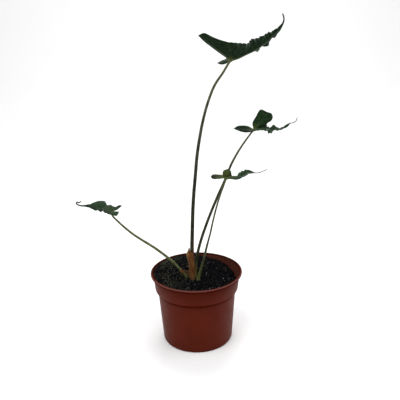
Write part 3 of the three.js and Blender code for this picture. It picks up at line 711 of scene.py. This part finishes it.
def make_pot(material):
    profile = pot_profile()
    rows = profile[1:-1]
    angle = turns(POT_SIDES)
    rings = [circle(r, z, angle) for r, z in rows]
    v = np.vstack([*rings, [0, 0, profile[0][1]], [0, 0, profile[-1][1]]])
    inside, crease_painted_shade, crest = (np.repeat(dust_and_painted_light, POT_SIDES) for dust_and_painted_light in pot_dust_and_painted_light(rows[:, 1]))
    dust_and_painted_light = {"inside": np.r_[inside, 0, 1], "crease_painted_shade": np.r_[crease_painted_shade, 0, 0], "crest": np.r_[crest, 0, 0]}
    faces = solid_faces(len(rows), POT_SIDES)
    pot = build("pot_shell", v, faces, material, slot="pot_plastic", looks=dust_and_painted_light)
    for k in range(DRAIN_HOLES):
        a = 2 * math.pi * (k + 0.5) / DRAIN_HOLES
        drill(pot, DRAIN_CIRCLE_R * math.cos(a), DRAIN_CIRCLE_R * math.sin(a))
    bpy.ops.object.select_all(action="DESELECT")
    pot.select_set(True)
    bpy.context.view_layer.objects.active = pot
    bpy.ops.object.shade_smooth_by_angle(angle=math.radians(40))
    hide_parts("pot")


# Soil

def inner_radius(z):
    """Of the pot's wall."""
    foot = BAND_FOOT_Z + 0.6
    if z > foot:
        return BAND_FOOT_R - POT_WALL + (BAND_TOP_R - BAND_FOOT_R) * (z - foot) / (WALL_TOP_Z - foot)
    low = POT_BASE_R - POT_WALL + 0.2
    return low + (BODY_TOP_R - POT_WALL - 0.2 - low) * (z - 4) / (BODY_TOP_Z - 4.6)


def soil_height(x, y):
    rough = (
        0.5 * np.sin(x * 0.42 + 1.3) * np.sin(y * 0.37 + 0.4)
        + 0.45 * np.sin(x * 0.81 - y * 0.63 + 2) + 0.3 * np.sin(y * 1.1 + x * 0.3)
    )
    heap = SOIL_HEAP * np.exp(-((x + 3) ** 2 + (y + 8) ** 2) / 160)
    dip = SOIL_DIP * np.exp(-((x - 50) ** 2 + (y - 10) ** 2) / 300)
    return np.minimum(SOIL_Z + SOIL_TILT_X * x + SOIL_TILT_Y * y + rough + heap - dip, SOIL_TOP)


def make_soil(material):
    angle = turns(SOIL_SIDES)
    edge = soil_height(SOIL_EDGE_R * np.cos(angle), SOIL_EDGE_R * np.sin(angle))
    rim = np.array([inner_radius(z) - 0.1 for z in edge])
    rows = []
    for j in range(1, SOIL_RINGS + 1):
        r = rim * (j / SOIL_RINGS) ** 0.8
        x, y = r * np.cos(angle), r * np.sin(angle)
        rows.append(np.c_[x, y, soil_height(x, y)])
    top = np.vstack(rows)
    lumps = fbm(top, 4.2, 3, 3.1) * 0.8 + np.abs(fbm(top, 1.5, 2, 7.7)) * 0.9 - 0.35
    top[:, 2] += lumps
    shoulder = BODY_TOP_R - POT_WALL - GAP
    floor = POT_FLOOR_Z + GAP
    walls = [circle(r, z, angle) for r, z in [
        (inner_radius(BAND_FOOT_Z + 0.8) - GAP, BAND_FOOT_Z + 1.2), (shoulder, BODY_TOP_Z + 1.3),
        (shoulder - 0.4, BODY_TOP_Z - 0.8), (inner_radius(32) - GAP, 32), (inner_radius(4.2) - GAP, 4.2),
        (inner_radius(4.2) - 1.6, floor),
    ]]
    v = np.vstack([top, *walls, [0, 0, soil_height(0, 0)], [0, 0, floor]])
    faces = [f[::-1] for f in solid_faces(SOIL_RINGS + len(walls), SOIL_SIDES)]
    tone = np.zeros(len(v))
    tone[:len(top)] = smooth((lumps + 0.1) * 0.8)
    soil = build("soil_bed", v, faces, material, slot="soil", looks={"tone": tone})
    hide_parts("soil")


def icosphere():
    """Points and faces of a ball of 20 triangles."""
    bpy.ops.mesh.primitive_ico_sphere_add(subdivisions=1, radius=1)
    ball = bpy.context.object
    points = np.array([tuple(v.co) for v in ball.data.vertices])
    faces = [tuple(p.vertices) for p in ball.data.polygons]
    bpy.data.objects.remove(ball)
    return points, faces


def any_turn():
    return np.array(Quaternion([rng.gauss(0, 1) for _ in range(4)]).normalized().to_matrix())


def flat_turn():
    """About the upright, with a slight tilt."""
    turned = Matrix.Rotation(rng.uniform(0, 2 * math.pi), 3, "Z")
    return np.array(turned @ Matrix.Rotation(rng.uniform(-0.5, 0.5), 3, "Y"))


def scatter(name, count, sizes, shape, lift, material, where=None):
    """Crumbs lying in the soil's surface: irregular small solids in one mesh."""
    base, faces = icosphere()
    vertices, all_faces, tone = [], [], []
    made = 0
    while made < count:
        a = rng.uniform(0, 2 * math.pi)
        d = CRUMB_REACH * math.sqrt(rng.random())
        x, y = d * math.cos(a), d * math.sin(a)
        if where and not where(x, y):
            continue
        size = rng.uniform(*sizes) * (0.6 + 0.4 * rng.random())
        rough = np.array([1 + rng.uniform(-0.28, 0.28) for _ in base])[:, None]
        stretch = np.array([shape[0] * rng.uniform(0.8, 1.2), shape[1] * rng.uniform(0.8, 1.2), shape[2]])
        turned = any_turn() if shape[2] > FLAKE else flat_turn()
        p = (base * rough * stretch * size) @ turned.T
        p += np.array([x, y, soil_height(x, y) + size * lift])
        start = len(vertices)
        vertices.extend(p)
        all_faces.extend([tuple(i + start for i in f) for f in faces])
        tone.extend([rng.random()] * len(p))
        made += 1
    build(name, vertices, all_faces, material, slot="soil", looks={"tone": tone}, flat=True)


def on_mossy_side(x, y):
    """Drawn at random, more often the further left the place is."""
    return rng.random() < smooth((-x + 2 - 0.12 * y) / 38)


def make_grit(soil_finish):
    scatter("peat_crumbs", 2600, (0.5, 1.5), (1, 1, 0.8), 0.25, soil_finish)
    bark = grit_material("bark", (58, 48, 40), (24, 20, 17), 0.85)
    scatter("bark_chips", 90, (0.6, 1.6), (1.4, 0.6, 0.25), 0.35, bark)
    moss = grit_material("moss", (112, 113, 94), (54, 54, 42), 0.9)
    scatter("moss_bits", 420, (0.25, 0.75), (1.3, 0.6, 0.4), 0.5, moss, on_mossy_side)
    sand = grit_material("sand", (150, 148, 140), (78, 76, 72), 0.85)
    scatter("sand_grains", 420, (0.15, 0.42), (1, 1, 0.9), 0.45, sand)
    perlite = grit_material("perlite", (214, 218, 222), (140, 144, 148), 0.8)
    scatter("perlite_grit", 60, (0.2, 0.6), (1, 1, 0.85), 0.45, perlite)


# Stems

# How green and how olive each foot is, and how pale the whole stem
FOOT_GREEN = {"top": 0.1, "right": 0.85, "middle": 0.7, "left": 0.6}
FOOT_OLIVE = {"top": 0, "right": 0.9, "middle": 0.15, "left": 0}
PALE = {"top": 0, "right": 0.15, "middle": 0.35, "left": 0.95}


def stem_radius(name, share):
    r0, r1, r2 = STEM_RADII[name]
    low = r0 + (r1 - r0) * min(1.0, 2 * share) ** 0.7
    return low if share < 0.5 else r1 + (r2 - r1) * (2 * share - 1)


def stem_path(name):
    """The centre line with two points under the soil before it, ending inside the leaf's joint."""
    path = STEM_PATHS[name]
    x, y, z = path[0]
    lean = (np.array(path[1][:2]) - path[0][:2]) / (path[1][2] - z)
    lean = np.clip(lean, -STEM_LEAN, STEM_LEAN)
    down = [(x - lean[0] * d, y - lean[1] * d, z - d) for d in (12, 6)]
    joint = np.array(LEAVES[name]["at"], float)
    return [*down, *path[:-1], tuple(0.45 * np.array(path[-1]) + 0.55 * joint)]


def make_stem(name, material):
    pts = stem_path(name)
    us = np.linspace(0, len(pts) - 1, 400)
    node_at = us[np.argmin(np.abs(curve(pts, us)[:, 2] - LEFT_NODE_Z))] / (len(pts) - 1)

    def radius(t):
        step = 1 / (len(pts) - 1)
        share = (t - 2 * step) / (1 - 2 * step)
        r = stem_radius(name, min(max(share, 0.0), 1.0))
        r *= 1 + 0.1 * math.exp(-max(share, 0) / 0.035) + 0.35 * math.exp(-(1 - share) / 0.02)
        if name == "left":
            r *= 1 + 0.3 * math.exp(-(((t - node_at) / 0.006) ** 2))
        return r

    v, faces, s, turn, r = tube(pts, radius, STEM_RINGS, STEM_SIDES, oval=0.06)
    z = v[:, 2]
    twist = turn + s / 16
    right_face = smooth(0.35 - np.sin(turn) - 0.2 * np.cos(turn))
    # painted shade: the left stem is darker on its downward-facing side
    underside = smooth((0.3 - surface_normals(v, faces)[0][:, 2]) / 0.9)
    looks = {
        "around": np.c_[r * np.cos(twist), r * np.sin(twist), s] * MM,
        "share": s / s.max(),
        "foot": smooth(1 - (z - 76) / 26) * FOOT_GREEN[name],
        "olive": smooth(1 - (z - 76) / 22) * FOOT_OLIVE[name],
        "painted_underside_shade": 0.5 * underside * (name == "left"),
        "blush": smooth(1 - abs(z - 106) / 26) * right_face * (0.85 if name == "top" else 0),
        "pale": np.full(len(v), PALE[name]),
    }
    wobble = fbm(v, 9, 2, 1.7)[:, None] * 0.1
    v = v + wobble * unit(v - v.mean(axis=0))
    obj = build("stem_" + name + "_fine", v, faces, material, slot="stem", looks=looks)
    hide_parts("stem_" + name)


def axis_at(z):
    """Centre of the tallest stem at a height."""
    path = STEM_PATHS["top"]
    us = np.linspace(0, 4, 200)
    c = curve(path, us)
    if z <= c[0][2]:
        return c[0][:2]
    return np.array([np.interp(z, c[:, 2], c[:, 0]), np.interp(z, c[:, 2], c[:, 1])])


def make_sheath(material):
    rows, columns = SHEATH_GRID
    us = np.linspace(0, len(SHEATH_ROWS) - 1, rows)
    inner, outer, strand = [], [], []
    for z, a0, a1, r_left, r_right in curve(SHEATH_ROWS, us):
        c = axis_at(z)
        top_share = smooth((z - 96) / 16)
        a1 += top_share * (7 * math.sin(z * 2.3) + 4 * math.sin(z * 5.1 + 1))
        for k in range(columns):
            s = k / (columns - 1)
            a = math.radians(a0 + (a1 - a0) * s)
            flare = r_right + (r_left - r_right) * math.exp(-(((s - 0.3) / 0.35) ** 2))
            ridge = 0.16 * math.sin(34 * s + 1.3 * math.sin(z * 0.11)) + 0.1 * math.sin(61 * s + z * 0.05)
            ridge += 0.2 * math.sin(11 * s + z * 0.19) * smooth((z - 76) / 10)
            curl = 0.5 * top_share * math.sin(9 * s + 0.4)
            ragged = top_share * (0.7 * math.sin(23 * s + 2) + 0.4 * math.sin(51 * s))
            for layer, more in ((inner, 0), (outer, SHEATH_T)):
                r = flare + ridge + curl + more
                layer.append((c[0] + r * math.cos(a), c[1] + r * math.sin(a), z + ragged))
            strand.append((s * 14, z, 0))
    obj = build("sheath_dry", outer + inner, sheet_faces(rows, columns), material, slot="sheath",
                looks={"strand": strand + strand})
    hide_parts("sheath")


def make_remnant(material):
    """Papery rest of a leaf base round the left stem."""
    rows, columns = REMNANT_GRID
    path = STEM_PATHS["left"]
    us = np.linspace(*REMNANT_SPAN, rows)
    c, t = curve(path, us), heading(path, us)
    v, strand = [], []
    for layer in (REMNANT_T, 0):
        for i in range(rows):
            up = unit(np.array([0, 0, 1.0]) - t[i] * t[i][2])
            across = np.cross(t[i], up)
            for k in range(columns):
                a = math.radians(-120 + 230 * k / (columns - 1))
                edge = (i in (0, rows - 1)) * math.sin(k * 2.1 + i)
                flare = 0.6 * (i / rows) ** 2 * math.sin(3 * a) ** 2
                r = REMNANT_R + 0.2 * math.sin(5 * a + i * 0.7) + flare + layer
                v.append(c[i] + r * (math.cos(a) * up + math.sin(a) * across) + 0.6 * edge * t[i])
                strand.append((4 + 10 * k / columns, 88 + i, 0))
    build("leaf_base_remnant", v, sheet_faces(rows, columns), material, slot="sheath",
          looks={"strand": strand})


def make_strands(material):
    """Dry strands between the remnant and the sheath."""
    for number, (r, points) in enumerate(DRY_STRANDS):
        v, faces, s, turn, _ = tube(points, lambda x: r * (1 - 0.5 * x * x), 30, 8)
        build(f"dry_strand_{number}", v, faces, material, slot="sheath",
              looks={"strand": np.c_[4 + 0.4 * turn, 90 + s, 0 * s]})


# Leaves

def margin_line(mid, edge, tail):
    """Margin points with the tail's narrow strip added where none is given."""
    out = list(edge)
    n = len(mid)
    for k in range(len(edge), n):
        t = unit(mid[min(k + 1, n - 1)] - mid[k - 1])
        d = out[-1] - mid[k - 1]
        d = unit(d - t * (d @ t))
        s = (k - len(edge)) / max(n - 1 - len(edge), 1)
        out.append(mid[k] + d * (tail[0] + (tail[1] - tail[0]) * s))
    return np.array(out)


def column_shares(width):
    """Shares of a half's width where its columns lie, crowded towards the rib where it is wide."""
    power = max(0.92, math.log(RIB_COLUMN / max(width, 0.5)) / math.log(1 / COLUMNS))
    return (np.arange(1, COLUMNS + 1) / COLUMNS) ** power


class Sheet:
    """Points of a leaf's middle surface, with what the finish needs to know at each."""

    KEYS = ("phase", "span", "across", "margin", "ridge", "cord", "crest", "light", "bloom", "sheet")

    def __init__(self):
        self.points, self.faces = [], []
        self.data = {key: [] for key in self.KEYS}

    def add(self, point, **values):
        self.points.append(point)
        for key in self.KEYS:
            self.data[key].append(values[key])
        return len(self.points) - 1


def quilt(phase, q, strength):
    """Fall of the blade at a vein and rise between two veins."""
    return QUILT * math.cos(2 * math.pi * phase) * strength * 4 * q * (1.08 - q)


def add_halves(sheet, leaf, mid, place):
    """The two long halves, row by row along the midrib. Returns the first row's point numbers."""
    n = len(mid) - 1
    us = np.linspace(0, n, n * ROWS_PER_STATION + 1)
    c = curve(mid, us)
    t = heading(mid, us)
    arc = np.r_[0, np.cumsum(np.linalg.norm(np.diff(c, axis=0), axis=1))]
    span = np.gradient(arc, us)
    index = {}
    ridge = 0.15 + 0.85 * np.maximum(0, 1 - us / n) ** 1.2
    halves = {}
    for number, (side, sign) in enumerate(SIDES):
        half = leaf[side]
        e = curve(margin_line(mid, place(half["edge"]), leaf["tail"]), us)
        looks = (leaf["frill"][number], leaf["light"][number], leaf["bloom"][number])
        halves[sign] = (half, e - c, np.linalg.norm(e - c, axis=1), *looks)
    # painted light and shade along the rib: the darker of the two halves' values, blending into each
    # half's own
    rib_painted_light = min(leaf["light"])
    cord = smooth((2.2 - np.maximum(halves[1][2], halves[-1][2])) / 1.2)
    for i, u in enumerate(us):
        index[i, 0] = sheet.add(
            c[i], phase=u, span=span[i], across=0, margin=FAR_FROM_MARGIN, ridge=ridge[i], cord=cord[i],
            crest=0, light=rib_painted_light, bloom=0, sheet=(arc[i], 0, 0),
        )
    for sign, (half, d, w, height, light, bloom) in halves.items():
        normal = unit(np.cross(t, d)) * sign
        live = np.clip((len(half["edge"]) - 1 - us) / 1.5, 0, 1) * np.minimum(1, us / 2)
        wave = half["ruffle"] * live * np.sin(2 * np.pi * us * RUFFLE_TURNS + 1 + sign)
        run = arc * leaf["pitch"]
        frill = live * height * (np.sin(run + 2 * sign) + 0.5 * np.sin(run * 1.93 + sign))
        swell = (wave + frill) / (half["ruffle"] + height)
        for i, u in enumerate(us):
            for j, q in enumerate(column_shares(w[i]), 1):
                phase = u - VEIN_SWEEP * q * q * min(1, w[i] / 8)
                lift = half["bow"] * w[i] * 4 * q * (1 - q) + wave[i] * q * q + frill[i] * q**4
                lift -= quilt(phase, q, min(1, w[i] / 6))
                index[i, sign * j] = sheet.add(
                    c[i] + d[i] * q + normal[i] * lift, phase=phase, span=span[i], across=q * w[i],
                    margin=(1 - q) * w[i], ridge=ridge[i], cord=cord[i], crest=swell[i] * q * q,
                    light=rib_painted_light + (light - rib_painted_light) * min(1, q * w[i] / 1.5),
                    bloom=bloom * min(1, q * w[i]), sheet=(arc[i], sign * q * w[i], 0),
                )
    for i in range(len(us) - 1):
        for j in range(-COLUMNS, COLUMNS):
            sheet.faces.append((index[i, j], index[i + 1, j], index[i + 1, j + 1], index[i, j + 1]))
    return {j: index[0, j] for j in range(-COLUMNS, COLUMNS + 1)}


def add_lobe(sheet, half, sign, mid, place, first, light):
    """One basal lobe, row by row along its own rib from the joint to its tip."""
    rib = np.vstack([mid[:1], place(half["rib"])])
    m = len(rib) - 1
    out = np.vstack([place(half["edge"])[:1], place(half["out"]), rib[m:]])
    inn = np.vstack([mid[:1], place(half["inn"]), rib[m:]])
    us = m * np.sin(np.pi / 2 * np.arange(1, LOBE_ROWS + 1) / LOBE_ROWS)
    c, t = curve(rib, us), heading(rib, us)
    to_out, to_inn = curve(out, us) - c, curve(inn, us) - c
    arc = np.linalg.norm(c - mid[0], axis=1)
    normal = unit(np.cross(t, to_out)) * -sign
    bow = half["bow"]

    def add(k, way, q, lift, phase, side, **same):
        """A point of row k, a share q of the way to a margin."""
        w = np.linalg.norm(way)
        return sheet.add(
            c[k] + way * q + normal[k] * (bow * w * 4 * q * (1 - q) - lift), phase=phase, across=q * w,
            margin=(1 - q) * w, sheet=(-arc[k], side * q * w, sign), **same,
        )

    prev = {j: first[sign * j] if j > 0 else first[0] for j in range(-INNER_COLUMNS, COLUMNS + 1)}
    for k, u in enumerate(us):
        # painted shade darkens the last quarter of the lobe towards its tip
        tip_shade = 1 - LOBE_TIP_SHADE * smooth((u / m - 0.75) / 0.25)
        same = dict(ridge=0.8 * (1 - u / m), span=arc[-1] / m, cord=0, crest=0, bloom=0,
                    light=light * tip_shade)
        on_rib = dict(phase=u, across=0, sheet=(-arc[k], 0, sign))
        if k == LOBE_ROWS - 1:
            tip = sheet.add(c[k], margin=0, **on_rib, **same)
            row = {j: tip for j in prev}
        else:
            row = {0: sheet.add(c[k], margin=FAR_FROM_MARGIN, **on_rib, **same)}
            w = np.linalg.norm(to_out[k])
            for j, q in enumerate(column_shares(w), 1):
                phase = u - VEIN_SWEEP * q * q
                lift = quilt(phase, q, min(1, w / 6, u * 2))
                row[j] = add(k, to_out[k], q, lift, phase, sign, **same)
            for j in range(1, INNER_COLUMNS + 1):
                q = (j / INNER_COLUMNS) ** 1.3
                row[-j] = add(k, to_inn[k], q, 0, u - 0.3 * q * q, -sign, **same)
        for j in range(-INNER_COLUMNS, COLUMNS):
            f = [prev[j], row[j], row[j + 1], prev[j + 1]]
            f = [a for p, a in enumerate(f) if a != f[p - 1]]
            if len(set(f)) >= 3:
                sheet.faces.append(tuple(f[::-1] if sign == 1 else f))
        prev = row


def relief(data, from_joint, tail_r):
    """How far the upper and the lower face stand off the middle surface."""
    off_vein = np.abs((data["phase"] + 0.5) % 1 - 0.5) * data["span"]
    vein = np.clip(1 - off_vein / 0.8, 0, 1) ** 1.5 * np.clip(data["margin"] / 2.5, 0, 1)
    vein *= np.clip((data["across"] - 0.5) / 1.5, 0, 1) * (1 - data["cord"])
    joint = np.exp(-((from_joint / JOINT_R) ** 2))
    ridge = data["ridge"] * np.exp(-((data["across"] / 0.8) ** 2)) * (1 - 0.6 * data["cord"])
    half_t = BLADE_T / 2 * np.clip(0.55 + data["margin"] * 0.12, 0.55, 1.0)
    cord_t = data["cord"] * tail_r * 0.8 * np.clip(data["margin"] + 0.4, 0.4, 1)
    half_t = np.maximum(half_t, cord_t)
    rise = half_t - VEIN_GROOVE * vein + 0.12 * ridge + 0.25 * joint
    drop = half_t + VEIN_RELIEF * vein + RIB_RELIEF * ridge + JOINT_RELIEF * joint
    return rise[:, None], drop[:, None]


def make_leaf(name, material):
    leaf = LEAVES[name]
    at = np.array(leaf["at"], float)

    def place(points):
        return np.array(points, float) + at

    mid = place(leaf["mid"])
    sheet = Sheet()
    first = add_halves(sheet, leaf, mid, place)
    for number, (side, sign) in enumerate(SIDES):
        add_lobe(sheet, leaf[side], sign, mid, place, first, leaf["lobe_painted_light"][number])
    points = np.array(sheet.points)
    n = len(points)
    data = {key: np.array(value, float) for key, value in sheet.data.items()}
    normals, border = surface_normals(points, sheet.faces)
    from_joint = np.linalg.norm(points - at, axis=1)
    crinkle = fbm(points, 3.5, 2, 5.2) * 0.16 * smooth(data["across"] / 4) * (1 - data["cord"])
    points = points + normals * crinkle[:, None]
    rise, drop = relief(data, from_joint, leaf["tail"][0])
    v = np.vstack([points + normals * rise, points - normals * drop])
    faces = sheet.faces + [tuple(i + n for i in f[::-1]) for f in sheet.faces]
    faces += [(b, a, a + n, b + n) for a, b in border]
    looks = {key: np.r_[data[key], data[key]] for key in Sheet.KEYS if key != "sheet"}
    looks["sheet"] = np.vstack([data["sheet"], data["sheet"] + (0, 0, LOWER_SHEET)])
    looks["under"] = np.r_[np.zeros(n), np.ones(n)]
    looks["joint"] = np.tile(leaf["olive"] * np.exp(-((from_joint / leaf["joint"]) ** 2)), 2)
    looks["ridge"] = looks["ridge"] * leaf["pale_rib"]
    looks["fresh"] = np.full(2 * n, leaf["fresh"])
    obj = build("leaf_" + name + "_fine", v, faces, material, slot="leaf", looks=looks)
    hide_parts("leaf_" + name)


# Build everything

leaf_finish = leaf_material()
stem_finish = stem_material()
soil_finish = soil_material()
make_pot(pot_material())
make_soil(soil_finish)
sheath_finish = sheath_material()
make_sheath(sheath_finish)
make_remnant(sheath_finish)
make_strands(sheath_finish)
for key in STEM_PATHS:
    make_stem(key, stem_finish)
    make_leaf(key, leaf_finish)
make_grit(soil_finish)


# Stage, light and camera, in metres

STAGE_HALF_WIDTH = 3.0
STAGE_FRONT = -1.6
STAGE_BACK = 1.1
STAGE_HEIGHT = 2.2
STAGE_CURVE_R = 0.5  # between floor and backdrop
STAGE_STEPS = 16
STAGE_COLOUR = (0.93, 0.93, 0.93, 1)
WORLD_LIGHT = 0.5
LIGHT_SIZE = 0.9
# place, what it looks at, power
LIGHTS = {
    "key": ((-0.45, -0.6, 1.7), (0, 0, 0.1), 15),
    "fill": ((0.8, -0.3, 1.6), (0, 0, 0.15), 8),
    "back": ((0.1, 0.8, 1.7), (0, 0, 0.1), 13),
}
CAMERA_AT = (0.0062, -0.5255, 0.3322)
CAMERA_PITCH = 17.4  # degrees down
CAMERA_ROLL = -1.38
CAMERA_LENS = 45


def make_stage():
    m = Shader("stage")
    m.base = STAGE_COLOUR
    profile = [(STAGE_FRONT, 0.0), (STAGE_BACK, 0.0)]
    for k in range(1, STAGE_STEPS + 1):
        a = math.pi / 2 * k / STAGE_STEPS
        profile.append((STAGE_BACK + STAGE_CURVE_R * math.sin(a), STAGE_CURVE_R * (1 - math.cos(a))))
    profile.append((STAGE_BACK + STAGE_CURVE_R, STAGE_HEIGHT))
    vertices = [(x, y, z) for y, z in profile for x in (-STAGE_HALF_WIDTH, STAGE_HALF_WIDTH)]
    faces = [(2 * i, 2 * i + 1, 2 * i + 3, 2 * i + 2) for i in range(len(profile) - 1)]
    material = m.finish(0.9, 0)
    build("stage", np.array(vertices) / MM, faces, material)


def stand(name, data, at, rotation):
    obj = bpy.data.objects.new(name, data)
    obj.location = at
    obj.rotation_euler = rotation.to_euler()
    bpy.context.scene.collection.objects.link(obj)
    return obj


def area_light(name, at, look, power):
    data = bpy.data.lights.new(name, "AREA")
    data.size = LIGHT_SIZE
    data.energy = power
    stand(name, data, at, (Vector(look) - Vector(at)).to_track_quat("-Z", "Y"))


def make_world():
    world = bpy.data.worlds.new("studio")
    world.use_nodes = True
    background = world.node_tree.nodes["Background"]
    background.inputs["Color"].default_value = (1, 1, 1, 1)
    background.inputs["Strength"].default_value = WORLD_LIGHT
    bpy.context.scene.world = world


def make_camera():
    data = bpy.data.cameras.new("camera")
    data.lens = CAMERA_LENS
    level = Matrix.Rotation(math.radians(90 - CAMERA_PITCH), 4, "X")
    rolled = level @ Matrix.Rotation(math.radians(CAMERA_ROLL), 4, "Z")
    bpy.context.scene.camera = stand("camera", data, CAMERA_AT, rolled)


make_stage()
make_world()
for key, light in LIGHTS.items():
    area_light(key, *light)
make_camera()
bpy.context.scene.view_settings.view_transform = "Standard"
